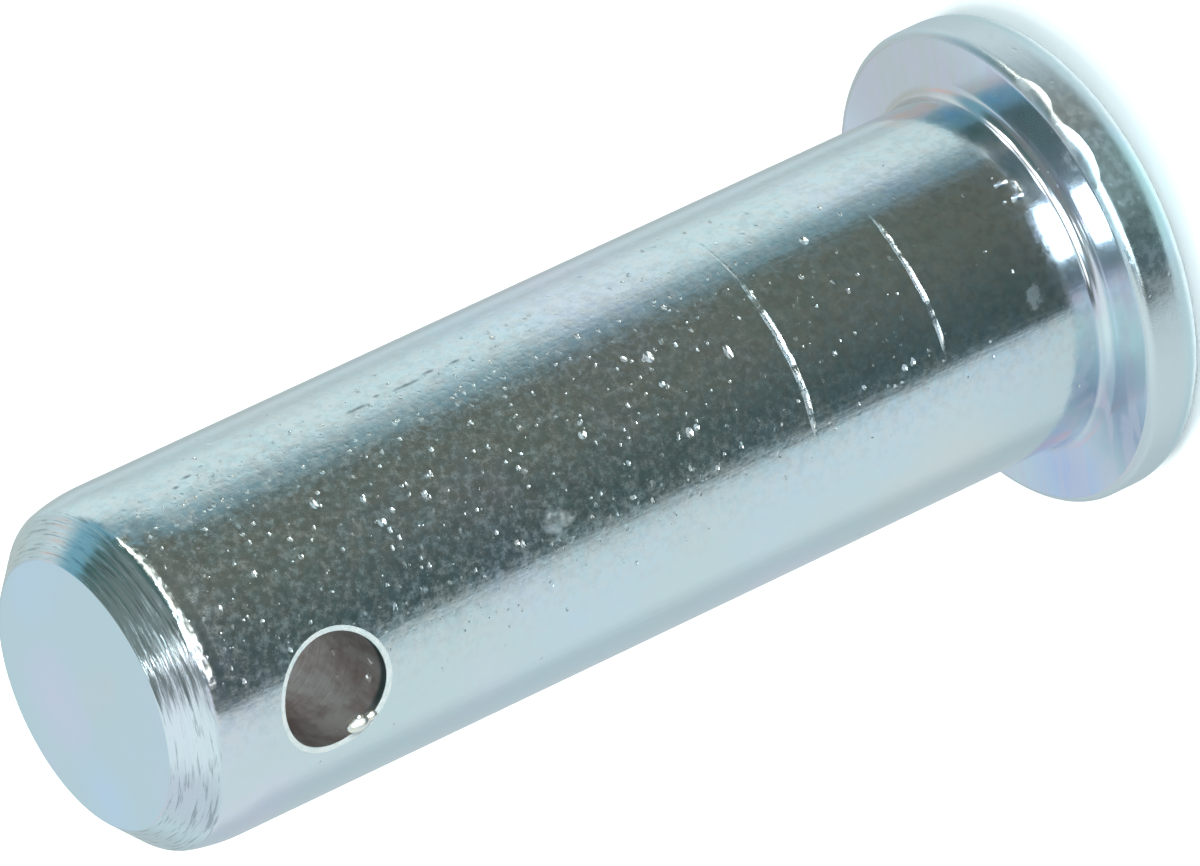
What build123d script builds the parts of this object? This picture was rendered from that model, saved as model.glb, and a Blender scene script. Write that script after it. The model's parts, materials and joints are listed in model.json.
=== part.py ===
from build123d import *
import os

# Headed clevis pin, turned from one piece of steel and zinc plated.
# It goes through the two ears of a clevis and the rod eye between them, and a
# split cotter through the cross hole keeps it there.
#
# Millimetres. The pin stands on its head: the origin is the centre of the
# head's outer face, +Z runs up the shank to the free end, and the cross hole
# runs along Y.

# Driving dimensions
shank_diameter = 10.0          # runs in the clevis ears and the rod eye
grip_length = 30.0             # underside of the head to the free end
head_overhang = 1.85           # how far the head stands out past the shank
head_thickness = 2.0
crown_round = 0.95             # between the head's outer face and its rim
rim_round = 0.3                # between the rim and the underside of the head
root_fillet = 0.4              # between the underside of the head and the shank
lead_in_length = 1.4           # drawn-in stretch of the shank behind the end chamfer
lead_in_drop = 0.2             # how much radius the shank loses along it
end_chamfer = 1.0              # turned on the free end at 45 degrees
end_edge_round = 0.12          # the plated-over edges of that chamfer
cross_hole_diameter = 3.2      # takes the split cotter
cross_hole_to_end = 4.6        # centre of the cross hole to the free end
cross_hole_edge_break = 0.18   # countersunk lip at both mouths of the cross hole

# Worked out from them
shank_radius = shank_diameter / 2
head_radius = shank_radius + head_overhang
total_length = head_thickness + grip_length
chamfer_start = total_length - end_chamfer
lead_in_start = chamfer_start - lead_in_length
nose_radius = shank_radius - lead_in_drop
end_face_radius = nose_radius - end_chamfer
cross_hole_height = total_length - cross_hole_to_end


with BuildPart() as clevis_pin:

    # Half section of the turned blank: radius across, height up
    with BuildSketch(Plane.XZ):
        with BuildLine():
            outer_face = Line((0, 0), (head_radius, 0))
            rim = Line(outer_face @ 1, (head_radius, head_thickness))
            underside = Line(rim @ 1, (shank_radius, head_thickness))
            shank = Line(underside @ 1, (shank_radius, lead_in_start))
            lead_in = TangentArc(shank @ 1, (nose_radius, chamfer_start), tangent=shank % 1)
            end_bevel = Line(lead_in @ 1, (end_face_radius, total_length))
            end_face = Line(end_bevel @ 1, (0, total_length))
            Line(end_face @ 1, outer_face @ 0)
        make_face()

        # Rounded corners of the section, each found by where it stands
        fillet(vertices().sort_by_distance(outer_face @ 1)[0], crown_round)
        fillet(vertices().sort_by_distance(rim @ 1)[0], rim_round)
        fillet(vertices().sort_by_distance(underside @ 1)[0], root_fillet)
        fillet(vertices().sort_by_distance(lead_in @ 1)[0], end_edge_round)
        fillet(vertices().sort_by_distance(end_bevel @ 1)[0], end_edge_round)
    revolve(axis=Axis.Z)

    # Cross hole, drilled right through the shank
    with BuildSketch(Plane.XZ):
        with Locations((0, cross_hole_height)):
            Circle(cross_hole_diameter / 2)
    extrude(amount=head_radius, both=True, mode=Mode.SUBTRACT)

    # The drill's sharp edges are broken where the hole comes out of the round shank
    mouths = edges(Select.LAST).filter_by(GeomType.LINE, reverse=True)
    chamfer(mouths, cross_hole_edge_break)

clevis_pin.part.label = "clevis_pin"

os.makedirs("parts", exist_ok=True)
export_step(clevis_pin.part, "parts/clevis_pin.step")
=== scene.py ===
import json
import math

import bmesh
import bpy
from bpy.props import FloatProperty, FloatVectorProperty, IntProperty, PointerProperty
from bpy.types import Operator, Panel, PropertyGroup
from mathutils import Matrix, Vector


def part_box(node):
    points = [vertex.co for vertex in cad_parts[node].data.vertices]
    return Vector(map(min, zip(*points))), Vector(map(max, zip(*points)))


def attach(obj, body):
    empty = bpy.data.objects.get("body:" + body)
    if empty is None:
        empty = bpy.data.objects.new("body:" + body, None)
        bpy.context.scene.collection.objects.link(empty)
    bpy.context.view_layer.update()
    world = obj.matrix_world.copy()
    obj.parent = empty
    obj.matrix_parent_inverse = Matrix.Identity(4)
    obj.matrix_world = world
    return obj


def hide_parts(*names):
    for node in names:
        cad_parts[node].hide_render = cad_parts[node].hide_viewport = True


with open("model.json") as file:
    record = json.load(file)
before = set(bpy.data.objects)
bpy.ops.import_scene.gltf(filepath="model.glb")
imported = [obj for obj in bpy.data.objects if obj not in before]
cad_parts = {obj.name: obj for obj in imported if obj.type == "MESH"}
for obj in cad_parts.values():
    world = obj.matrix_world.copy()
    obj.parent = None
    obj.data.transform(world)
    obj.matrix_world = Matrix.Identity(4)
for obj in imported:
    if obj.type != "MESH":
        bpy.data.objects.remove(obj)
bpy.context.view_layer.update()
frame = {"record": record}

bl_info = {
    "name": "Clevis Pin",
    "version": (1, 0, 0),
    "blender": (4, 5, 0),
    "location": "3D View > Sidebar > Clevis Pin",
    "description": "Dresses a turned and zinc-plated clevis pin and sets its studio",
    "category": "Object",
}

MM = 0.001
NODE = "clevis_pin"

MOUNTS = {mount["name"]: mount for mount in frame["record"]["mounts"]}
LOW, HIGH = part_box(NODE)
TOTAL_LENGTH = HIGH.z
HEAD_RADIUS = -LOW.x
HEAD_THICKNESS = MOUNTS["head_shoulder"]["pos_m"][2]
SHANK_RADIUS = MOUNTS["shank"]["dims"]["r_mm"] * MM
HOLE_RADIUS = MOUNTS["cotter_hole"]["dims"]["r_mm"] * MM
HOLE_HEIGHT = MOUNTS["cotter_hole"]["pos_m"][2]


# ---- settings

def length_setting(name, description, millimetres):
    return FloatProperty(name=name, description=description, default=millimetres * MM,
                         unit="LENGTH", precision=6)


def angle_setting(name, description, degrees):
    return FloatProperty(name=name, description=description, default=math.radians(degrees),
                         subtype="ANGLE")


def share_setting(name, description, default):
    return FloatProperty(name=name, description=description, default=default, min=0, max=1)


def colour_setting(name, description, default):
    return FloatVectorProperty(name=name, description=description, default=default,
                               subtype="COLOR", min=0, max=1)


class PinShape(PropertyGroup):
    segments: IntProperty(
        name="Segments", description="Facets round the pin", default=320, min=48, max=400)
    crown_round: length_setting(
        "Crown round", "Radius between the head's outer face and its rim", 0.95)
    rim_round: length_setting(
        "Rim round", "Radius between the rim and the underside of the head", 0.3)
    root_fillet: length_setting(
        "Root fillet", "Radius between the underside of the head and the shank", 0.4)
    bevel: length_setting(
        "End bevel", "Width and height of the 45 degree bevel on the free end", 1.0)
    lead_in_length: length_setting(
        "Lead-in length", "Drawn-in stretch of shank behind the end bevel", 1.4)
    lead_in_drop: length_setting(
        "Lead-in drop", "Radius that the shank loses along the lead-in", 0.2)
    outer_edge_round: length_setting(
        "Outer edge round", "Plated-over edge between the shank and the end bevel", 0.6)
    inner_edge_round: length_setting(
        "Inner edge round", "Plated-over edge between the end bevel and end face", 0.12)
    lip: length_setting("Hole lip", "Width of the broken edge round the cross hole's mouths", 0.2)
    lip_depth: length_setting(
        "Hole lip depth", "How far the broken edge dips into the cross hole", 0.06)
    tool_mark: length_setting(
        "Tool mark depth", "Depth of the lathe's grooves on the end bevel", 0.006)


class ZincFinish(PropertyGroup):
    zinc: colour_setting("Zinc plate", "Colour of the clear blue zinc plate", (0.69, 0.83, 0.87))
    lilac: colour_setting(
        "Lilac film", "Colour where the passivate film has turned lilac", (0.78, 0.81, 0.94))
    blue: colour_setting(
        "Blue film", "Colour where the passivate film has turned blue", (0.68, 0.83, 0.97))
    straw: colour_setting(
        "Straw film", "Colour where the passivate film has turned straw", (0.79, 0.80, 0.79))
    rim: colour_setting(
        "Rim plate", "Colour of the greyer plate on the rim of the head", (0.68, 0.765, 0.79))
    crown: colour_setting(
        "Crown plate", "Colour of the bluer plate on the crown of the head", (0.62, 0.82, 0.87))
    # The bare-steel colour below is also used as painted shade on the shank beside the head
    bare_and_shade: colour_setting(
        "Bare steel", "Colour in dashes and specks where the plate is gone", (0.24, 0.30, 0.33))
    roughness: share_setting("Roughness", "How far the bright plate spreads a reflection", 0.13)
    mottle: share_setting("Mottle", "How much duller the shank gets in its fine worn spots", 0.25)
    dings: share_setting("Ding slope", "Steepness of the small dings from handling in bulk", 0.44)
    scratches: share_setting(
        "Scratch slope", "Steepness of the sides of the two ring scratches", 0.45)


class PinStudio(PropertyGroup):
    azimuth: angle_setting("Camera azimuth", "Turn of the camera round the pin from -Y", 32.8)
    elevation: angle_setting(
        "Camera elevation", "Height of the camera above the floor as an angle", 28.2)
    roll: angle_setting("Camera roll", "Turn of the camera about its own line of sight", 115.1)
    distance: FloatProperty(
        name="Camera distance", description="Camera to the point that it is aimed at",
        default=408.8 * MM, unit="LENGTH")
    lens: FloatProperty(
        name="Lens", description="Focal length in millimetres on a 36 mm frame", default=463.7)
    aim: FloatVectorProperty(
        name="Aim", description="Point that the camera is aimed at",
        default=(0.41 * MM, 0.26 * MM, 14.95 * MM), unit="LENGTH", precision=5)
    floor: colour_setting("Floor", "Colour of the plain pale floor", (0.86, 0.86, 0.86))


# ---- mesh handling

def deselect_everything():
    if bpy.context.object and bpy.context.object.mode != "OBJECT":
        bpy.ops.object.mode_set(mode="OBJECT")
    bpy.ops.object.select_all(action="DESELECT")


def make_active(piece):
    deselect_everything()
    piece.select_set(True)
    bpy.context.view_layer.objects.active = piece


def select_faces(piece, wanted):
    """Selects the faces that the test wants, with piece in edit mode."""
    bpy.ops.mesh.select_all(action="DESELECT")
    mesh = bmesh.from_edit_mesh(piece.data)
    for face in mesh.faces:
        if wanted(face):
            face.select_set(True)
    bmesh.update_edit_mesh(piece.data)


class Lathe:
    """Draws a round bar out of a disc, one ring at a time, along +Z."""

    def __init__(self, name, segments, radius, height):
        deselect_everything()
        bpy.ops.mesh.primitive_circle_add(
            vertices=segments, radius=radius, fill_type="NGON", location=(0, 0, 0))
        self.piece = bpy.context.object
        self.piece.name = name
        self.piece.data.name = name
        self.radius = radius
        self.height = height
        bpy.ops.object.mode_set(mode="EDIT")
        bpy.ops.mesh.select_all(action="SELECT")

    def draw(self, radius, height):
        """Pulls the open face on to a new radius and height."""
        bpy.ops.mesh.extrude_region_move(
            TRANSFORM_OT_translate={"value": (0, 0, height - self.height)})
        factor = radius / self.radius
        if factor != 1:
            bpy.ops.transform.resize(value=(factor, factor, 1), center_override=(0, 0, 0))
        self.radius = radius
        self.height = height

    def arc(self, centre_radius, centre_height, radius, start, end, steps):
        """Follows an arc of the section, angles in degrees from the outward direction."""
        for step in range(1, steps + 1):
            turn = math.radians(start + (end - start) * step / steps)
            self.draw(centre_radius + radius * math.cos(turn),
                      centre_height + radius * math.sin(turn))


# ---- the pin

# How deep each pass of the lathe tool hollowed the end bevel, from the shank inward
TOOL_PASSES = (0.5, 1.3, 0.7, 1.1, 0.4, 0.9)
RINGS_PER_PASS = 12
# Rings on the shank, in radii of the cross hole from its middle, and on the end face
HOLE_RINGS = (-2.0, -1.25, -0.75, -0.25, 0.25, 0.75, 1.2)
END_FACE_RINGS = (0.94, 0.7, 0.45, 0.2)
# The drill: its sides, the turns of its rounded lip in degrees, the gap that a new ring starts
# with, and how far it stands out of the shank
DRILL_SIDES = 128
LIP_TURNS = (0, 20, 40, 60, 78)
RING_GAP = 0.3 * MM
OVERSHOOT = 1.5 * MM


def turn_blank(shape):
    """The pin as it comes off the lathe, head down, without its cross hole."""
    overhang_inner = SHANK_RADIUS + shape.root_fillet
    outer_face = HEAD_RADIUS - shape.crown_round
    lathe = Lathe("pin_body", shape.segments, outer_face, 0)
    lathe.arc(outer_face, shape.crown_round, shape.crown_round, -90, 0, steps=14)
    lathe.draw(HEAD_RADIUS, HEAD_THICKNESS - shape.rim_round)
    lathe.arc(HEAD_RADIUS - shape.rim_round, HEAD_THICKNESS - shape.rim_round,
              shape.rim_round, 0, 90, steps=10)
    lathe.draw(overhang_inner, HEAD_THICKNESS)
    lathe.arc(overhang_inner, HEAD_THICKNESS + shape.root_fillet,
              shape.root_fillet, -90, -180, steps=10)

    # Shank, with rings of points beside the cross hole
    for share in HOLE_RINGS:
        lathe.draw(SHANK_RADIUS, HOLE_HEIGHT + share * HOLE_RADIUS)
    lead_in_start = TOTAL_LENGTH - shape.bevel - shape.lead_in_length
    lathe.draw(SHANK_RADIUS, lead_in_start)

    # Lead-in: a flat arc that is tangent to the shank
    length, drop = shape.lead_in_length, shape.lead_in_drop
    lead_in_radius = (length ** 2 + drop ** 2) / (2 * drop)
    lead_in_turn = math.asin(length / lead_in_radius)
    nose_radius = SHANK_RADIUS - drop
    bevel_turn = math.radians(45)
    outer_cut = shape.outer_edge_round * math.tan((bevel_turn - lead_in_turn) / 2)
    last_turn = lead_in_turn - outer_cut / lead_in_radius
    lathe.arc(SHANK_RADIUS - lead_in_radius, lead_in_start,
              lead_in_radius, 0, math.degrees(last_turn), steps=10)

    # Plated-over edge on to the bevel
    lathe.arc(lathe.radius - shape.outer_edge_round * math.cos(last_turn),
              lathe.height - shape.outer_edge_round * math.sin(last_turn),
              shape.outer_edge_round, math.degrees(last_turn), math.degrees(bevel_turn), steps=10)

    # Bevel, hollowed a little by each pass of the lathe tool
    inner_cut = shape.inner_edge_round * math.tan(bevel_turn / 2)
    face_radius = nose_radius - shape.bevel
    bevel_top = Vector((face_radius + inner_cut * math.cos(bevel_turn),
                        TOTAL_LENGTH - inner_cut * math.sin(bevel_turn)))
    bevel_foot = Vector((lathe.radius, lathe.height))
    inward = -shape.tool_mark * math.sin(bevel_turn)
    for groove, depth in enumerate(TOOL_PASSES):
        for row in range(RINGS_PER_PASS):
            across = (row + 1) / RINGS_PER_PASS
            place = bevel_foot.lerp(bevel_top, (groove + across) / len(TOOL_PASSES))
            hollow = inward * depth * 4 * across * (1 - across)
            lathe.draw(place.x + hollow, place.y + hollow)

    # Plated-over edge on to the end face, and the end face itself
    lathe.arc(bevel_top.x - shape.inner_edge_round * math.cos(bevel_turn),
              TOTAL_LENGTH - shape.inner_edge_round, shape.inner_edge_round, 45, 90, steps=6)
    for share in END_FACE_RINGS:
        lathe.draw(face_radius * share, TOTAL_LENGTH)
    bpy.ops.mesh.select_all(action="SELECT")
    bpy.ops.mesh.normals_make_consistent(inside=False)
    return lathe.piece


def make_drill(shape):
    """The cutter for the cross hole: the drill's width, flared over a rounded lip at each mouth."""
    deselect_everything()
    bpy.ops.mesh.primitive_cylinder_add(
        vertices=DRILL_SIDES, radius=HOLE_RADIUS, depth=SHANK_RADIUS, end_fill_type="NGON",
        location=(0, 0, 0), rotation=(math.pi / 2, 0, 0))
    drill = bpy.context.object
    bpy.ops.object.transform_apply(location=False, rotation=True, scale=False)
    bpy.ops.object.mode_set(mode="EDIT")

    def pull_out(distance):
        bpy.ops.mesh.extrude_region_move(TRANSFORM_OT_translate={"value": (0, distance, 0)})

    for side in (-1, 1):
        select_faces(drill, lambda face: (len(face.verts) == DRILL_SIDES
                                          and face.normal.y * side > 0))
        radius = HOLE_RADIUS
        for turn in map(math.radians, LIP_TURNS):
            wider = HOLE_RADIUS + shape.lip * (1 - math.cos(turn))
            drop = shape.lip_depth * (1 - math.sin(turn))
            pull_out(side * RING_GAP)
            bpy.ops.transform.resize(
                value=(wider / radius, 1, wider / radius), center_override=(0, 0, 0))
            radius = wider
            follow_shank(drill, side, drop)
        pull_out(side * OVERSHOOT)
    bpy.ops.mesh.select_all(action="SELECT")
    bpy.ops.mesh.normals_make_consistent(inside=False)
    bpy.ops.transform.translate(value=(0, 0, HOLE_HEIGHT))
    bpy.ops.object.mode_set(mode="OBJECT")
    return drill


def follow_shank(drill, side, drop):
    """Lays the selected ring along the shank's round surface, drop below it."""
    mesh = bmesh.from_edit_mesh(drill.data)
    for vertex in mesh.verts:
        if vertex.select:
            across = min(abs(vertex.co.x), SHANK_RADIUS)
            vertex.co.y = side * (math.sqrt(SHANK_RADIUS ** 2 - across ** 2) - drop)
    bmesh.update_edit_mesh(drill.data)


def combine(piece, other, operation):
    """Cuts the other piece away or welds it on; both keep their own material slots."""
    make_active(piece)
    step = piece.modifiers.new("combine", "BOOLEAN")
    step.operation = operation
    step.solver = "EXACT"
    step.object = other
    bpy.ops.object.modifier_apply(modifier=step.name)
    bpy.data.objects.remove(other, do_unlink=True)


# Flakes of torn plate on the cross hole's edge: degrees from the camera's side, millimetres
# above the floor, distance from the axis, then half length, half width and half thickness
BURR_FLAKES = (
    (-48.5, 26.78, 4.91, 0.34, 0.20, 0.12), (-47.0, 26.38, 4.95, 0.19, 0.13, 0.08),
    (-46.6, 26.70, 4.87, 0.12, 0.10, 0.08))


def add_burr(piece, studio):
    """Welds the flakes on, each turned to lie square to the camera."""
    back = toward(studio.azimuth, studio.elevation)
    long_way = (Vector((0, 0, 1)) - back * back.z).normalized()
    turn = Matrix((long_way, back.cross(long_way), back)).transposed().to_euler()
    for angle, up, radius, length, width, thickness in BURR_FLAKES:
        deselect_everything()
        bpy.ops.mesh.primitive_uv_sphere_add(
            segments=32, ring_count=16, radius=MM, scale=(length, width, thickness),
            location=Vector(pin_point(angle, up, studio.azimuth, radius)) * MM, rotation=turn)
        flake = bpy.context.object
        bpy.ops.object.transform_apply(location=True, rotation=True, scale=True)
        for finish in piece.data.materials:
            flake.data.materials.append(finish)
        for face in flake.data.polygons:
            face.material_index = len(piece.data.materials) - 1
        combine(piece, flake, "UNION")


def crease_round(piece, name):
    """Marks the outline of the faces with one finish as sharp."""
    make_active(piece)
    bpy.ops.object.mode_set(mode="EDIT")
    wanted = piece.data.materials.find(name)
    select_faces(piece, lambda face: face.material_index == wanted)
    bpy.ops.mesh.region_to_loop()
    bpy.ops.mesh.mark_sharp()
    bpy.ops.object.mode_set(mode="OBJECT")


def assign_finishes(piece, shape, finishes):
    """Gives each face the finish of its part of the pin."""
    names = list(finishes)
    for finish in finishes.values():
        piece.data.materials.append(finish)
    bore_wall = HOLE_RADIUS * 1.0005
    lip_edge = HOLE_RADIUS + shape.lip * 0.98
    below_skin = SHANK_RADIUS - 0.001 * MM
    end_face = TOTAL_LENGTH - 0.03 * MM
    bevel_foot = TOTAL_LENGTH - shape.bevel - 0.02 * MM
    shank_foot = HEAD_THICKNESS + shape.root_fillet
    underside = HEAD_THICKNESS - 0.01 * MM
    for face in piece.data.polygons:
        centre = face.center
        radius = math.hypot(centre.x, centre.y)
        from_hole = math.hypot(centre.x, centre.z - HOLE_HEIGHT)
        if from_hole < bore_wall:
            name = "bore"
        elif from_hole < lip_edge and radius < below_skin:
            name = "lip"
        elif centre.z > end_face:
            name = "faces"
        elif centre.z > bevel_foot:
            name = "bevel"
        elif centre.z > shank_foot:
            name = "shank"
        elif centre.z > underside:
            name = "faces"
        else:
            name = "rim"
        face.material_index = names.index(name)


# ---- materials

FLOAT = "NodeSocketFloat"
VECTOR = "NodeSocketVector"
COLOUR = "NodeSocketColor"


def add_node(tree, kind, inputs=None, **settings):
    """Adds a node, sets its properties and fills its sockets with values or links."""
    node = tree.nodes.new(kind)
    for name, value in settings.items():
        setattr(node, name, value)
    for name, value in (inputs or {}).items():
        plug(tree, value, node.inputs[name])
    return node


def plug(tree, value, socket):
    """Links an output to the socket, or sets the socket to a plain value."""
    if isinstance(value, bpy.types.NodeSocket):
        tree.links.new(value, socket)
    elif socket.type == "RGBA":
        socket.default_value = (*tuple(value)[:3], 1)
    else:
        socket.default_value = value


def maths(tree, operation, first, second=0.0, third=0.0):
    return add_node(tree, "ShaderNodeMath", {0: first, 1: second, 2: third},
                    operation=operation).outputs[0]


def times(tree, first, second):
    return maths(tree, "MULTIPLY", first, second)


def scale_add(tree, value, factor, base):
    """The value times the factor, added to the base."""
    return maths(tree, "MULTIPLY_ADD", value, factor, base)


def weighted(tree, base, parts):
    """The base, plus each part times its own amount."""
    for value, amount in parts:
        base = scale_add(tree, value, amount, base)
    return base


def vector_maths(tree, operation, first, second=(0, 0, 0)):
    name = "Scale" if operation == "SCALE" else 1
    node = add_node(tree, "ShaderNodeVectorMath", {0: first, name: second}, operation=operation)
    return node.outputs["Value" if operation in ("LENGTH", "DOT_PRODUCT") else 0]


def blend(tree, factor, first, second):
    """Mixes two colours by a factor."""
    return add_node(tree, "ShaderNodeMix", {0: factor, 6: first, 7: second},
                    data_type="RGBA").outputs[2]


def fade(tree, value, low, high):
    """0 at low and 1 at high, smooth in between."""
    return add_node(tree, "ShaderNodeMapRange", {"Value": value, "From Min": low, "From Max": high},
                    interpolation_type="SMOOTHSTEP").outputs["Result"]


def noise(tree, vector, scale, detail=2.0, roughness=0.5, output=0):
    return add_node(tree, "ShaderNodeTexNoise", {
        "Vector": vector, "Scale": scale, "Detail": detail, "Roughness": roughness},
        noise_dimensions="3D").outputs[output]


def stretched(tree, vector, x, y, z):
    return vector_maths(tree, "MULTIPLY", vector, (x, y, z))


def new_group(name, inputs, outputs):
    """An empty shader node group that takes a place; gives its tree, place, inputs, outputs."""
    tree = bpy.data.node_groups.new(name, "ShaderNodeTree")
    for label, kind, default in [("Millimetres", VECTOR, None), *inputs]:
        socket = tree.interface.new_socket(name=label, in_out="INPUT", socket_type=kind)
        if default is not None:
            socket.default_value = default
    for label in outputs:
        tree.interface.new_socket(name=label, in_out="OUTPUT",
                                  socket_type=COLOUR if label == "Color" else FLOAT)
    entry = tree.nodes.new("NodeGroupInput").outputs
    leave = tree.nodes.new("NodeGroupOutput").inputs
    return tree, entry["Millimetres"], entry, leave


def place_group(tree, group, inputs):
    node = tree.nodes.new("ShaderNodeGroup")
    node.node_tree = group
    for name, value in inputs.items():
        plug(tree, value, node.inputs[name])
    return node.outputs


def axis_distance(tree, place):
    """Distance from the pin's axis, in the same unit as the place."""
    return vector_maths(tree, "LENGTH", stretched(tree, place, 1, 1, 0))


def height_of(tree, place):
    return add_node(tree, "ShaderNodeSeparateXYZ", {0: place}).outputs[2]


def outward(tree, place):
    """Unit direction from the pin's axis."""
    return vector_maths(tree, "NORMALIZE", stretched(tree, place, 1, 1, 0))


def handling_dings_group():
    """Small round-sided dings of uneven size, as pins leave on each other in a plating barrel."""
    tree, place, entry, leave = new_group(
        "handling_dings", [("Per mm", FLOAT, 2.0), ("Size", FLOAT, 0.25), ("Share", FLOAT, 0.3)],
        ["Depth", "Mask"])
    wobble = noise(tree, place, 7.0, 1.0, output="Color")
    bent = vector_maths(tree, "ADD", stretched(tree, place, 1, 1, 1.4),
                        vector_maths(tree, "SCALE", wobble, 0.16))
    cells = add_node(tree, "ShaderNodeTexVoronoi", {
        "Vector": bent, "Scale": entry["Per mm"], "Randomness": 1.0}, feature="F1")
    drawn = add_node(tree, "ShaderNodeSeparateColor", {"Color": cells.outputs["Color"]}).outputs
    kept = maths(tree, "LESS_THAN", drawn[0], entry["Share"])
    size = times(tree, entry["Size"], scale_add(tree, drawn[1], 0.9, 0.4))
    steep = scale_add(tree, maths(tree, "POWER", drawn[2], 2.5), 0.85, 0.15)
    inside = maths(tree, "SUBTRACT", 1.0, maths(tree, "DIVIDE", cells.outputs["Distance"], size))
    bowl = times(tree, fade(tree, inside, 0.0, 1.0), kept)
    width = maths(tree, "DIVIDE", size, entry["Per mm"])
    plug(tree, times(tree, times(tree, bowl, steep), width), leave["Depth"])
    plug(tree, fade(tree, bowl, 0.0, 0.3), leave["Mask"])
    return tree


def turning_lines_group():
    """Fine uneven lines round the pin's axis, on its round and its flat faces alike."""
    tree, place, entry, leave = new_group(
        "turning_lines", [("Per mm", FLOAT, 8.0), ("Run", FLOAT, 0.5)], ["Height"])
    height = height_of(tree, place)
    radius = axis_distance(tree, place)
    across = times(tree, maths(tree, "SUBTRACT", height, radius), entry["Per mm"])
    along = vector_maths(tree, "SCALE", stretched(tree, place, 1, 1, 0), entry["Run"])
    lift = add_node(tree, "ShaderNodeCombineXYZ", {2: across}).outputs[0]
    plug(tree, noise(tree, vector_maths(tree, "ADD", along, lift), 1.0, 3.0, 0.6), leave["Height"])
    return tree


def drawing_lines_group():
    """Faint straight lines along the shank, left where the bar was drawn through its die."""
    tree, place, entry, leave = new_group("drawing_lines", [("Per mm", FLOAT, 4.0)], ["Height"])
    stretch = stretched(tree, place, 1, 1, 0.07)
    plug(tree, noise(tree, stretch, entry["Per mm"], 3.0, 0.55), leave["Height"])
    return tree


def fine_pits_group():
    """Irregular shallow pits, close together like the skin of worn plate."""
    tree, place, entry, leave = new_group(
        "fine_pits", [("Per mm", FLOAT, 4.0), ("Level", FLOAT, 0.56)], ["Depth"])
    skin = noise(tree, place, entry["Per mm"], 1.5, 0.6)
    deep = maths(tree, "MAXIMUM", maths(tree, "SUBTRACT", skin, entry["Level"]), 0.0)
    plug(tree, maths(tree, "DIVIDE", deep, entry["Per mm"]), leave["Depth"])
    return tree


def ring_scratch_group():
    """A scratch part of the way round the pin, uneven in depth; its sides slope by one."""
    tree, place, entry, leave = new_group(
        "ring_scratch",
        [("Height", FLOAT, 0.0), ("Middle", VECTOR, (1, 0, 0)), ("Full to", FLOAT, 0.95),
         ("Gone at", FLOAT, 0.85), ("Half width", FLOAT, 0.08)],
        ["Depth", "Mask"])
    height = height_of(tree, place)
    flat = stretched(tree, place, 1, 1, 0)
    round_it = vector_maths(tree, "DOT_PRODUCT", outward(tree, place), entry["Middle"])
    along = fade(tree, round_it, entry["Gone at"], entry["Full to"])
    drift = maths(tree, "SUBTRACT", noise(tree, flat, 0.6, 2.0), 0.5)
    height = scale_add(tree, drift, 0.16, height)
    away = maths(tree, "ABSOLUTE", maths(tree, "SUBTRACT", height, entry["Height"]))
    uneven = fade(tree, noise(tree, place, 1.9, 3.0, 0.6), 0.36, 0.62)
    uneven = times(tree, along, scale_add(tree, uneven, 0.90, 0.10))
    width = times(tree, entry["Half width"], maths(tree, "POWER", along, 0.5))
    inside = maths(tree, "MAXIMUM", maths(tree, "SUBTRACT", width, away), 0.0)
    plug(tree, times(tree, inside, uneven), leave["Depth"])
    plug(tree, fade(tree, inside, 0.0, 0.02), leave["Mask"])
    return tree


def passivate_film_group():
    """Colour of the thin blue passivate over the zinc, which drifts with its thickness."""
    tree, place, entry, leave = new_group(
        "passivate_film",
        [("Per mm", FLOAT, 0.16), ("Zinc", COLOUR, None), ("Lilac", COLOUR, None),
         ("Blue", COLOUR, None), ("Straw", COLOUR, None), ("Shift", FLOAT, 0.0)],
        ["Color"])
    clouds = noise(tree, place, entry["Per mm"], 2.5, 0.45, output="Color")
    drawn = add_node(tree, "ShaderNodeSeparateColor", {"Color": clouds}).outputs
    lilac = fade(tree, maths(tree, "ADD", drawn[0], entry["Shift"]), 0.44, 0.66)
    blue = fade(tree, maths(tree, "ADD", drawn[1], entry["Shift"]), 0.46, 0.70)
    straw = fade(tree, drawn[2], 0.56, 0.74)
    colour = blend(tree, lilac, entry["Zinc"], entry["Lilac"])
    colour = blend(tree, times(tree, blue, 0.8), colour, entry["Blue"])
    colour = blend(tree, times(tree, straw, 0.6), colour, entry["Straw"])
    plug(tree, colour, leave["Color"])
    return tree


def soft_patch_group():
    """A soft patch at a place on the pin, as long as its reach along each axis."""
    tree, place, entry, leave = new_group(
        "soft_patch",
        [("Centre", VECTOR, (0, 0, 0)), ("Reach", VECTOR, (1, 1, 1)), ("Ragged", FLOAT, 0.3),
         ("Grain per mm", FLOAT, 2.5), ("Edge", FLOAT, 0.5)],
        ["Mask"])
    away = vector_maths(tree, "DIVIDE", vector_maths(
        tree, "SUBTRACT", place, entry["Centre"]), entry["Reach"])
    share = vector_maths(tree, "LENGTH", away)
    grain = noise(tree, place, entry["Grain per mm"], 3.0)
    ragged = times(tree, maths(tree, "SUBTRACT", grain, 0.5), entry["Ragged"])
    inside = maths(tree, "SUBTRACT", 1.0, maths(tree, "ADD", share, ragged))
    mask = maths(tree, "DIVIDE", inside, entry["Edge"])
    plug(tree, add_node(tree, "ShaderNodeClamp", {"Value": mask}).outputs[0], leave["Mask"])
    return tree


def pin_point(angle, height, azimuth, radius=SHANK_RADIUS / MM):
    """A place in millimetres: degrees round from the camera's side, height and radius."""
    turn = azimuth - math.pi / 2 + math.radians(angle)
    return (radius * math.cos(turn), radius * math.sin(turn), height)


def strongest(tree, masks):
    """The highest of some masks."""
    result = masks[0]
    for mask in masks[1:]:
        result = maths(tree, "MAXIMUM", result, mask)
    return result


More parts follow.
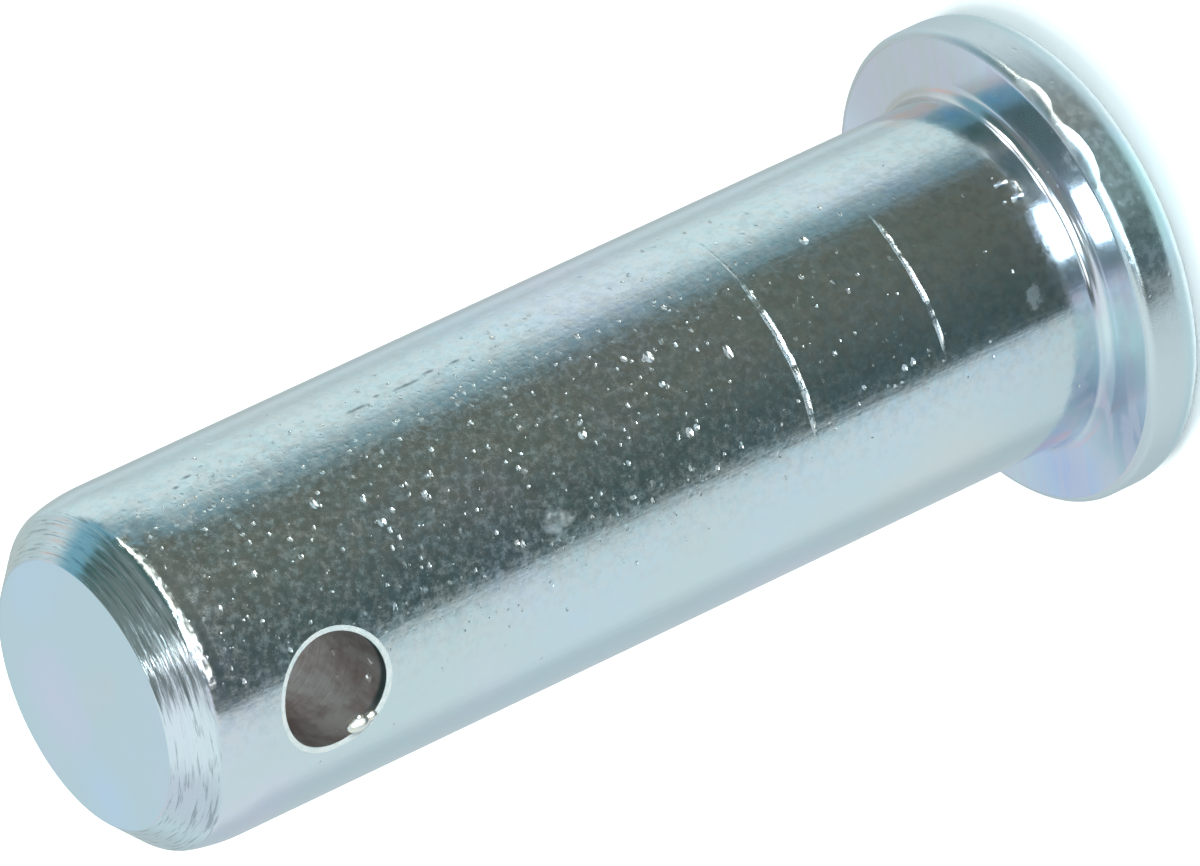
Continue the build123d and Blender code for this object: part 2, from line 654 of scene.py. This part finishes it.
class Metal:
    """One metal finish of the pin, drawn by place in millimetres."""

    def __init__(self, name, groups, finish, azimuth):
        self.material = bpy.data.materials.new(name)
        self.material.use_nodes = True
        self.tree = self.material.node_tree
        self.surface = self.tree.nodes["Principled BSDF"]
        self.surface.inputs["Metallic"].default_value = 1.0
        self.groups, self.finish, self.azimuth = groups, finish, azimuth
        place = self.tree.nodes.new("ShaderNodeTexCoord").outputs["Object"]
        self.place = vector_maths(self.tree, "SCALE", place, 1 / MM)

    def effect(self, name, inputs, place=None):
        """Outputs of a shared effect, at the shaded place unless another is given."""
        return place_group(self.tree, self.groups[name],
                           {"Millimetres": place or self.place, **inputs})

    def dings(self, per_mm, size, share, place=None):
        """Depth and mask of small dings: how close, how wide, and which share is there."""
        return self.effect("dings", {"Per mm": per_mm, "Size": size, "Share": share}, place)

    def turned(self, per_mm, run):
        return self.effect("turned", {"Per mm": per_mm, "Run": run})["Height"]

    def patch(self, point, reach, ragged, grain, edge):
        """Mask of a soft patch round a point: degrees from the camera's side, height, radius."""
        angle, height, *radius = point
        return self.effect("patch", {
            "Centre": pin_point(angle, height, self.azimuth, *radius), "Reach": reach,
            "Ragged": ragged, "Grain per mm": grain, "Edge": edge})["Mask"]

    def plate_colour(self, shift=0.0, per_mm=0.16):
        finish = self.finish
        return self.effect("film", {
            "Per mm": per_mm, "Zinc": finish.zinc, "Lilac": finish.lilac, "Blue": finish.blue,
            "Straw": finish.straw, "Shift": shift})["Color"]

    def out_to(self, angle, place=None):
        """How far a place lies out to one side, in degrees round from the camera's side."""
        return vector_maths(self.tree, "DOT_PRODUCT", place or self.place,
                            pin_point(angle, 0, self.azimuth, 1))

    def wire(self, colour, rough, relief):
        """Sets the colour, the roughness and the relief in millimetres."""
        plug(self.tree, colour, self.surface.inputs["Base Color"])
        plug(self.tree, rough, self.surface.inputs["Roughness"])
        bump = add_node(self.tree, "ShaderNodeBump", {
            "Height": times(self.tree, relief, MM), "Distance": 1.0, "Strength": 1.0})
        plug(self.tree, bump.outputs[0], self.surface.inputs["Normal"])


def dress_shank(metal):
    """Bright plate over a drawn bar, dinged more towards the free end."""
    tree, place = metal.tree, metal.place
    height = height_of(tree, place)
    rubbed = metal.out_to(RUBBED_SIDE, outward(tree, place))
    rubbed = scale_add(tree, fade(tree, rubbed, 0.45, 0.88), 0.92, 0.08)
    worn = times(tree, rubbed, fade(tree, height, 1.0, 21.0))

    # Marks at their own places
    dull = strongest(tree, [metal.patch((-13, 4.0), (0.40, 0.40, 0.34), 1.2, 4.0, 0.5),
                            metal.patch((-13, 19.8), (0.44, 0.44, 0.62), 1.5, 3.0, 0.5)])
    dashes = strongest(tree, [metal.patch((angle, up), (0.085, 0.085, reach), 0.9, 5.0, 0.9)
                              for angle, up, reach in DRAG_DASHES])
    nicks = [metal.patch((angle, up), (wide, wide, tall), 0.2, 3.0, 1.0)
             for angle, up, wide, tall in NICKS]
    nick_depth = strongest(tree, [times(tree, nick, 0.5 * mark[3])
                                  for nick, mark in zip(nicks, NICKS)])
    nicks = fade(tree, strongest(tree, nicks), 0.0, 0.3)

    # Two ring scratches, the longer one with a faint tail
    depths, masks = [], []
    for up, middle, full, gone, half_width, strength in RING_SCRATCHES:
        mark = metal.effect("ring", {
            "Height": up, "Middle": pin_point(middle, 0, metal.azimuth, 1),
            "Full to": math.cos(math.radians(full)), "Gone at": math.cos(math.radians(gone)),
            "Half width": half_width})
        depths.append(times(tree, mark["Depth"], strength))
        masks.append(mark["Mask"])
    ring_depth = strongest(tree, depths)
    ring_mask = strongest(tree, masks)

    below_nose = fade(tree, height, 31.0, 29.6)
    worn = times(tree, worn, scale_add(tree, below_nose, 0.8, 0.2))
    small = metal.dings(2.6, 0.28, scale_add(tree, worn, 0.30, 0.02))
    fine = metal.dings(4.6, 0.36, scale_add(tree, worn, 0.28, 0.02),
                       vector_maths(tree, "ADD", place, (3.1, 7.7, 1.3)))
    pits = metal.effect("pits", {"Per mm": 4.2, "Level": 0.54})["Depth"]

    finish = metal.finish
    colour = metal.plate_colour(shift=-0.05)
    tint = fade(tree, noise(tree, place, 2.6, 3.0, 0.6), 0.40, 0.62)
    tint = times(tree, tint, scale_add(tree, rubbed, 0.5, 0.10))
    colour = blend(tree, tint, colour, finish.straw)
    smudge = noise(tree, vector_maths(tree, "ADD", place, (9.3, 2.1, 5.5)), 3.4, 4.0, 0.62)
    smudge = times(tree, fade(tree, smudge, 0.42, 0.66), times(tree, rubbed, 0.20))
    colour = blend(tree, smudge, colour, finish.bare_and_shade)
    colour = blend(tree, times(tree, dashes, 0.95), colour, finish.bare_and_shade)
    # Painted shade: the shank is darkened a little towards the head, blended into the bare-steel
    # colour
    head_shade = times(tree, fade(tree, height, 8.0, 3.5), 0.12)
    colour = blend(tree, head_shade, colour, finish.bare_and_shade)
    # Painted reflections: coloured streaks beside the head stand in for colours the plate mirrors
    # there
    for angle, up, reach, tall, tone, amount in REFLECTION_STREAKS:
        streak = metal.patch((angle, up), (reach, reach, tall), 0.4, 0.9, 1.0)
        colour = blend(tree, times(tree, fade(tree, streak, 0.0, 1.0), amount), colour, tone)

    skin = fade(tree, noise(tree, place, 4.6, 5.0, 0.74), 0.28, 0.76)
    mottle = times(tree, skin, scale_add(tree, worn, 0.7, times(tree, rubbed, 0.32)))
    rough = weighted(tree, finish.roughness, (
        (mottle, finish.mottle), (small["Mask"], 0.08), (fine["Mask"], 0.08), (dull, 0.17),
        (dashes, 0.2), (ring_mask, 0.08), (nicks, 0.06)))

    grain = noise(tree, place, 6.0, 3.0, 0.55)
    lines = metal.effect("drawn", {"Per mm": 3.2})["Height"]
    relief = weighted(tree, edge_waves(metal), (
        (grain, 0.003), (lines, 0.006), (times(tree, pits, worn), -0.05),
        (small["Depth"], -finish.dings), (fine["Depth"], -finish.dings),
        (ring_depth, -finish.scratches), (nick_depth, -1.0)))
    return colour, rough, relief


# Side of the shank that other pins have rubbed, in degrees from the camera's side
RUBBED_SIDE = 16
# Painted reflections beside the head, faint coloured streaks that stand in for colours the plate
# mirrors: degrees from the camera's side, height, reach, colour, strength
REFLECTION_STREAKS = (
    (69.0, 3.95, 1.1, 0.40, (0.94, 0.76, 0.72), 0.45),
    (78.0, 3.5, 1.2, 0.42, (0.94, 0.78, 0.72), 0.45),
    (88.0, 3.0, 1.3, 0.44, (0.94, 0.74, 0.66), 0.4),
    (-78.0, 2.95, 1.5, 0.42, (0.94, 0.76, 0.70), 0.4),
    (-62.0, 2.75, 1.5, 0.42, (0.88, 0.78, 0.84), 0.4),
    (58.0, 2.7, 0.8, 0.36, (0.45, 0.70, 0.92), 0.6))

# Marks on the shank: degrees from the camera's side, millimetres above the floor, then sizes
DRAG_DASHES = (
    (48.4, 22.9, 0.42), (50.0, 22.2, 0.14), (48.8, 21.3, 0.50), (49.9, 20.5, 0.26),
    (49.2, 19.7, 0.20), (50.4, 28.6, 0.14), (53.0, 28.1, 0.20))
NICKS = (
    (11.4, 13.1, 0.24, 0.10), (7.3, 18.1, 0.12, 0.12), (-5.7, 15.2, 0.15, 0.11),
    (-5.2, 14.95, 0.10, 0.09), (9.0, 24.5, 0.12, 0.12), (23.0, 25.9, 0.15, 0.10),
    (23.0, 3.3, 0.10, 0.22), (17.0, 3.1, 0.10, 0.20), (20.0, 2.95, 0.24, 0.08),
    (20.5, 15.2, 0.18, 0.14), (11.0, 15.3, 0.09, 0.09), (34.0, 9.2, 0.14, 0.12))
# Height, middle, half run at full depth, half run at its ends, half width, strength
RING_SCRATCHES = (
    (7.12, 7.0, 13.0, 28.0, 0.085, 1.0), (11.58, 3.0, 16.0, 31.0, 0.10, 1.2),
    (11.56, 40.0, 6.0, 17.0, 0.05, 0.5))


def dress_face(metal):
    """Smooth plate of the end face, the root fillet and the underside of the head."""
    tree, place = metal.tree, metal.place
    top = TOTAL_LENGTH / MM
    colour = metal.plate_colour(shift=-0.06, per_mm=0.22)
    for point, reach, edge, tone in (
            ((170, top, 1.6), (1.9, 1.9, 9), 0.9, metal.finish.lilac),
            ((-115, top, 3.0), (1.6, 1.6, 9), 0.9, metal.finish.blue),
            ((-100, 2.0, 6.0), (2.6, 2.6, 0.9), 0.9, (0.56, 0.66, 0.92)),
            ((-60, 2.0, 6.0), (2.6, 2.6, 0.9), 0.9, (0.37, 0.48, 0.61)),
            ((88, 2.0, 6.0), (4.4, 4.4, 0.9), 0.5, (0.68, 0.70, 0.71))):
        colour = blend(tree, metal.patch(point, reach, 0.5, 0.5, edge), colour, tone)
    streaks = fade(tree, noise(tree, stretched(tree, place, 0.5, 1.6, 1), 1.2, 3.0), 0.45, 0.62)
    underneath = fade(tree, height_of(tree, place), top - 5, top - 8)
    streaks = times(tree, streaks, times(tree, underneath, 0.5))
    colour = blend(tree, streaks, colour, (0.72, 0.70, 0.82))
    lines = metal.turned(2.2, 0.3)
    cloud = noise(tree, place, 0.8, 3.0)
    specks = metal.dings(4.0, 0.22, 0.10)
    rough = weighted(tree, metal.finish.roughness - 0.03, (
        (cloud, 0.06), (underneath, 0.04), (specks["Mask"], 0.1)))
    relief = weighted(tree, 0.0, ((lines, 0.004), (specks["Depth"], -0.12)))
    return colour, rough, relief


def dress_rim(metal):
    """Satin plate of the head's rim and outer face, with a sandy grain."""
    tree, place = metal.tree, metal.place
    height = height_of(tree, place)
    lower = fade(tree, height, 1.1, 0.5)
    colour = blend(tree, lower, metal.finish.rim, metal.finish.crown)
    colour = blend(tree, 0.25, colour, metal.plate_colour())
    sand = noise(tree, place, 4.0, 4.0, 0.65)
    specks = metal.dings(2.8, 0.28, 0.35)
    shaded = metal.out_to(-16)
    shaded = fade(tree, shaded, HEAD_RADIUS / MM * 0.95, HEAD_RADIUS / MM * 0.99)
    rough = weighted(tree, 0.33, (
        (fade(tree, sand, 0.35, 0.70), 0.10), (specks["Mask"], 0.05), (shaded, -0.10)))
    # Painted reflection colour: the rim is tinted bluer on its side towards the camera, where it
    # mirrors the dark drape
    reflection_tint = metal.out_to(2)
    reflection_tint = fade(tree, reflection_tint, HEAD_RADIUS / MM * 0.93, HEAD_RADIUS / MM * 0.985)
    colour = blend(tree, reflection_tint, colour, vector_maths(tree, "MULTIPLY", colour, (0.98, 1.16, 1.28)))
    scuffs = strongest(tree, [
        metal.patch((angle, up, HEAD_RADIUS / MM - 0.1), (reach, reach, tall), 0.12, 1.2, 1.0)
        for angle, up, reach, tall in EDGE_SCUFFS])
    lines = metal.turned(5.0, 0.6)
    relief = weighted(tree, 0.0, (
        (sand, 0.006), (lines, 0.006), (specks["Depth"], -0.12), (scuffs, -0.16)))
    return colour, rough, relief


# Scuffs along the rim's upper edge: degrees from the camera's side, height, reach, tallness
EDGE_SCUFFS = ((15.5, 2.0, 1.05, 0.46), (33.0, 2.0, 0.80, 0.44))


def edge_waves(metal):
    """Uneven roundness of the edge between the shank and the end bevel."""
    tree, place = metal.tree, metal.place
    height = height_of(tree, place)
    side = metal.out_to(RUBBED_SIDE)
    edge = times(tree, fade(tree, height, 30.4, 30.75), fade(tree, height, 31.2, 30.95))
    edge = times(tree, edge, fade(tree, side, 3.9, 4.4))
    return times(tree, times(tree, noise(tree, place, 1.5, 2.0), edge), 0.055)


def dress_bevel(metal):
    """Turned end bevel: tool lines under the plate."""
    tree = metal.tree
    colour = metal.plate_colour(shift=-0.10)
    coarse = metal.turned(3.0, 0.35)
    fine = metal.turned(9.0, 0.9)
    ridges = fade(tree, fine, 0.52, 0.68)
    rough = weighted(tree, 0.10, ((fade(tree, coarse, 0.4, 0.62), 0.11), (ridges, 0.16)))
    furrows = fade(tree, fine, 0.47, 0.34)
    colour = blend(tree, times(tree, furrows, 0.55), colour, metal.finish.bare_and_shade)
    relief = weighted(tree, edge_waves(metal), ((coarse, 0.022), (fine, 0.006)))
    return colour, rough, relief


def dress_bore(metal):
    """Wall of the cross hole: drill marks under a thin dull plate, with a painted reflection of the
    dark drape just inside its mouths on one side, and specks painted near-white as glints.
    """
    tree, place = metal.tree, metal.place
    cloud = noise(tree, stretched(tree, place, 1, 0.45, 1), 1.3, 4.0, 0.6)
    colour = blend(tree, fade(tree, cloud, 0.36, 0.62), (0.56, 0.49, 0.47), (0.80, 0.80, 0.79))
    deep = maths(tree, "SUBTRACT", SHANK_RADIUS / MM, axis_distance(tree, place))
    side = vector_maths(tree, "DOT_PRODUCT", vector_maths(
        tree, "SUBTRACT", place, (0, 0, HOLE_HEIGHT / MM)), (0.6, 0, -0.8))
    # Painted reflection: the wall just inside the mouths, on one side, is painted the dark teal of
    # the drape it mirrors
    mouth = times(tree, fade(tree, deep, 0.42, 0.22), fade(tree, side, -0.3, 0.7))
    colour = blend(tree, times(tree, mouth, 0.9), colour, (0.08, 0.17, 0.18))
    marks = noise(tree, stretched(tree, place, 0.6, 6.0, 0.6), 1.0, 3.0, 0.6)
    specks = metal.dings(2.2, 0.26, 0.5)
    rough = scale_add(tree, cloud, 0.15, 0.30)
    # Painted highlights: the specks are painted near-white so they read as glints, besides their
    # real dents
    colour = blend(tree, fade(tree, specks["Mask"], 0.3, 0.9), colour, (1.0, 0.98, 0.98))
    relief = weighted(tree, 0.0, ((marks, 0.012), (specks["Depth"], -0.7)))
    return colour, rough, relief


def dress_lip(metal):
    """Crushed white lip round the mouths of the cross hole, under a clear film."""
    tree, place = metal.tree, metal.place
    metal.surface.inputs["Coat Weight"].default_value = 0.8
    metal.surface.inputs["Coat Roughness"].default_value = 0.15
    grain = noise(tree, place, 4.0, 3.0, 0.6)
    colour = blend(tree, fade(tree, grain, 0.35, 0.7), (0.56, 0.58, 0.57), (0.44, 0.52, 0.52))
    torn = metal.patch((-47.5, 26.7), (0.5, 0.5, 0.5), 0.3, 4.0, 0.3)
    plug(tree, scale_add(tree, torn, 0.65, 0.35), metal.surface.inputs["Metallic"])
    rough = weighted(tree, 0.45, ((grain, 0.15), (torn, -0.20)))
    return colour, rough, times(tree, grain, 0.03)


def dress_burr(metal):
    """Bright torn flakes."""
    tree = metal.tree
    grain = noise(tree, metal.place, 6.0, 2.0)
    colour = blend(tree, fade(tree, grain, 0.4, 0.6), (0.86, 0.90, 0.92), (0.92, 0.90, 0.78))
    return colour, 0.30, times(tree, grain, 0.01)


# Part of the pin, name of its metal and how it is dressed; the burr's comes last
METALS = (
    ("shank", "plated_shank", dress_shank), ("faces", "plated_faces", dress_face),
    ("rim", "plated_head", dress_rim), ("bevel", "turned_bevel", dress_bevel),
    ("bore", "drilled_bore", dress_bore), ("lip", "crushed_lip", dress_lip),
    ("burr", "torn_burr", dress_burr))


# ---- studio

def toward(azimuth, elevation):
    """Unit direction for an azimuth from -Y and an elevation, in radians."""
    return Vector((math.sin(azimuth) * math.cos(elevation),
                   -math.cos(azimuth) * math.cos(elevation), math.sin(elevation)))


def beside_camera(studio, turn, elevation):
    """Unit direction given in degrees round from the camera's side and above the floor."""
    return toward(studio.azimuth + math.radians(turn), math.radians(elevation))


def add_camera(studio):
    aim = Vector(studio.aim)
    back = toward(studio.azimuth, studio.elevation)
    sight = -back
    level_right = sight.cross(Vector((0, 0, 1))).normalized()
    level_up = level_right.cross(sight)
    up = level_up * math.cos(studio.roll) + level_right * math.sin(studio.roll)
    right = sight.cross(up)
    turn = Matrix((right, up, back)).transposed()
    bpy.ops.object.camera_add(location=aim + back * studio.distance, rotation=turn.to_euler())
    camera = bpy.context.object
    camera.name = "studio_camera"
    camera.data.lens = studio.lens
    camera.data.sensor_width = 36
    camera.data.clip_start = 0.01
    camera.data.clip_end = 50
    bpy.context.scene.camera = camera


def add_floor(studio):
    bpy.ops.mesh.primitive_circle_add(vertices=96, radius=4, fill_type="NGON", location=(0, 0, 0))
    floor = bpy.context.object
    floor.name = "studio_floor"
    material = bpy.data.materials.new("pale_floor")
    material.use_nodes = True
    surface = material.node_tree.nodes["Principled BSDF"]
    surface.inputs["Base Color"].default_value = (*studio.floor, 1)
    surface.inputs["Roughness"].default_value = 0.9
    surface.inputs["Specular IOR Level"].default_value = 0.1
    floor.data.materials.append(material)
    floor.visible_glossy = False


def light_studio_room(studio):
    """A room of plain soft cards all round the pin, told apart by direction alone."""
    world = bpy.data.worlds.new("studio_room")
    bpy.context.scene.world = world
    world.use_nodes = True
    tree = world.node_tree
    tree.nodes.clear()
    direction = tree.nodes.new("ShaderNodeTexCoord").outputs["Generated"]

    def facing(turn, elevation):
        return vector_maths(tree, "DOT_PRODUCT", direction, beside_camera(studio, turn, elevation))

    height = height_of(tree, direction)

    # Pale cards all round: warmer above the pin, greyer low down behind it
    pale = (0.735, 0.795, 0.80)
    for turn, elevation, start, full, tone in PALE_CARDS:
        pale = blend(tree, fade(tree, facing(turn, elevation), start, full), pale, tone)

    # Dark drape behind the camera, and a blue board beside it
    left_edge = facing(47.5, -1.0)
    board_edge = facing(14.9, 33.2)
    right_edge = facing(-7.9, 27.2)
    warm = fade(tree, facing(60, -28), 0.2, 1.0)
    drape = blend(tree, warm, (0.068, 0.098, 0.096), (0.140, 0.152, 0.128))
    drape = blend(tree, fade(tree, height, 0.1, 0.5), drape, (0.085, 0.145, 0.135))
    drape = blend(tree, fade(tree, height, 0.6, 0.85), drape, (0.21, 0.235, 0.225))
    board = blend(tree, fade(tree, height, -0.3, 0.4), (0.22, 0.33, 0.37), (0.21, 0.41, 0.50))
    dark = blend(tree, fade(tree, right_edge, -0.03, 0.03), board, drape)

    # A low strip light, a card and lamps hang in front of the drape
    strip = times(tree, fade(tree, height, 0.03, 0.06), fade(tree, height, 0.22, 0.17))
    strip = times(tree, strip, fade(tree, facing(27, 4), 0.50, 0.60))
    dark = blend(tree, strip, dark, (3.0, 3.0, 2.7))
    dark = blend(tree, fade(tree, facing(-48, 28), 0.955, 0.99), dark, (0.79, 0.80, 0.86))
    for turn, elevation, reach, power, tint in LAMPS:
        edge = math.cos(math.radians(reach))
        spot = fade(tree, facing(turn, elevation), edge, 1 - (1 - edge) * 0.3)
        dark = blend(tree, spot, dark, tuple(power * part for part in tint))

    room = blend(tree, fade(tree, board_edge, -0.12, 0.12), pale, dark)
    shade = times(tree, fade(tree, left_edge, -0.36, -0.12),
                  fade(tree, height, 0.3, -0.1))
    pale = blend(tree, shade, pale, (0.665, 0.745, 0.765))
    room = blend(tree, fade(tree, left_edge, -0.10, 0.03), pale, room)

    # White floor low down behind the pin
    room = blend(tree, fade(tree, facing(180, -60), 0.88, 0.95), room, (1.3, 1.32, 1.3))

    # Seen straight on, the room is one plain pale tone
    straight = tree.nodes.new("ShaderNodeLightPath").outputs["Is Camera Ray"]
    room = blend(tree, straight, room, (0.85, 0.86, 0.86))
    background = add_node(tree, "ShaderNodeBackground", {"Color": room, "Strength": 1.0})
    output = tree.nodes.new("ShaderNodeOutputWorld")
    plug(tree, background.outputs[0], output.inputs["Surface"])


# Turn from the camera, elevation, where the card's soft edge starts and ends, and its tone
PALE_CARDS = (
    (105, -28, 0.60, 0.97, (0.80, 0.90, 0.905)),
    (-75, 55, 0.84, 0.98, (0.84, 0.92, 0.90)),
    (180, 30, 0.45, 0.95, (0.64, 0.725, 0.77)),
    (178, -30, 0.55, 0.93, (0.49, 0.545, 0.555)),
    (-150, -32, 0.82, 0.995, (0.55, 0.62, 0.65)),
    (160, 2, 0.86, 0.97, (0.565, 0.61, 0.59)),
    (-122, 28, 0.90, 0.98, (0.65, 0.69, 0.73)),
    (138, 27, 0.980, 0.997, (0.80, 0.65, 0.60)),
    (-152, 27, 0.980, 0.997, (0.76, 0.66, 0.69)),
)
# Turn from the camera, elevation, half width in degrees, power and tint of each lamp
LAMPS = (
    (5, 29, 15.5, 21.0, (0.88, 1.0, 1.06)),
    (35, 12, 6.0, 12.0, (1.0, 0.97, 0.84)),
    (68, 11, 6.0, 12.0, (1.0, 0.96, 0.80)),
    (-3, 70, 3.5, 10.0, (1.0, 1.0, 1.0)),
)


def add_softbox(name, place, size, power):
    """A soft overhead light that the mirror-bright metal doesn't show."""
    sight = -Vector(place)
    bpy.ops.object.light_add(type="AREA", location=place,
                             rotation=sight.to_track_quat("-Z", "Y").to_euler())
    lamp = bpy.context.object
    lamp.name = name
    lamp.data.shape = "DISK"
    lamp.data.size = size
    lamp.data.energy = power
    lamp.visible_glossy = False
    lamp.visible_camera = False


# ---- operators

class PIN_OT_turned_body(Operator):
    """Turns, drills and plates the pin"""
    bl_idname = "pin.turned_body"
    bl_label = "Turned pin body"

    def execute(self, context):
        scene = context.scene
        shape = scene.pin_shape
        piece = turn_blank(shape)
        bpy.ops.object.mode_set(mode="OBJECT")
        combine(piece, make_drill(shape), "DIFFERENCE")
        groups = {
            "film": passivate_film_group(),
            "dings": handling_dings_group(),
            "turned": turning_lines_group(),
            "drawn": drawing_lines_group(),
            "pits": fine_pits_group(),
            "ring": ring_scratch_group(),
            "patch": soft_patch_group(),
        }
        finishes = {}
        for part, name, dress in METALS:
            metal = Metal(name, groups, scene.pin_finish, scene.pin_studio.azimuth)
            metal.wire(*dress(metal))
            finishes[part] = metal.material
        assign_finishes(piece, shape, finishes)
        add_burr(piece, scene.pin_studio)
        crease_round(piece, "crushed_lip")
        bpy.ops.object.shade_smooth_by_angle(angle=math.radians(32))
        weigh = piece.modifiers.new("weighted_normals", "WEIGHTED_NORMAL")
        weigh.keep_sharp = True
        bpy.ops.object.modifier_apply(modifier=weigh.name)
        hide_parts(NODE)
        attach(piece, "root")
        return {"FINISHED"}


class PIN_OT_studio(Operator):
    """Sets the plain floor, the soft light and the camera"""
    bl_idname = "pin.studio"
    bl_label = "Studio"

    def execute(self, context):
        studio = context.scene.pin_studio
        deselect_everything()
        add_floor(studio)
        light_studio_room(studio)
        add_softbox("softbox_overhead", (-0.25, 0.2, 0.9), 0.7, 9.0)
        add_camera(studio)
        context.scene.view_settings.view_transform = "Standard"
        return {"FINISHED"}


class PIN_PT_panel(Panel):
    """Lists the pin's settings and steps"""
    bl_idname = "PIN_PT_panel"
    bl_label = "Clevis Pin"
    bl_space_type = "VIEW_3D"
    bl_region_type = "UI"
    bl_category = "Clevis Pin"

    def draw(self, context):
        layout = self.layout
        for settings in (context.scene.pin_shape, context.scene.pin_finish,
                         context.scene.pin_studio):
            box = layout.box()
            for name in settings.__annotations__:
                box.prop(settings, name)
        for step in STEPS:
            layout.operator(step.bl_idname)


STEPS = (PIN_OT_turned_body, PIN_OT_studio)
SETTINGS = (("pin_shape", PinShape), ("pin_finish", ZincFinish), ("pin_studio", PinStudio))


def register():
    for name, group in SETTINGS:
        bpy.utils.register_class(group)
        setattr(bpy.types.Scene, name, PointerProperty(type=group))
    for step in (*STEPS, PIN_PT_panel):
        bpy.utils.register_class(step)


def unregister():
    for step in (PIN_PT_panel, *reversed(STEPS)):
        bpy.utils.unregister_class(step)
    for name, group in reversed(SETTINGS):
        delattr(bpy.types.Scene, name)
        bpy.utils.unregister_class(group)


def main():
    register()
    bpy.ops.pin.turned_body()
    bpy.ops.pin.studio()


if __name__ == "__main__":
    main()
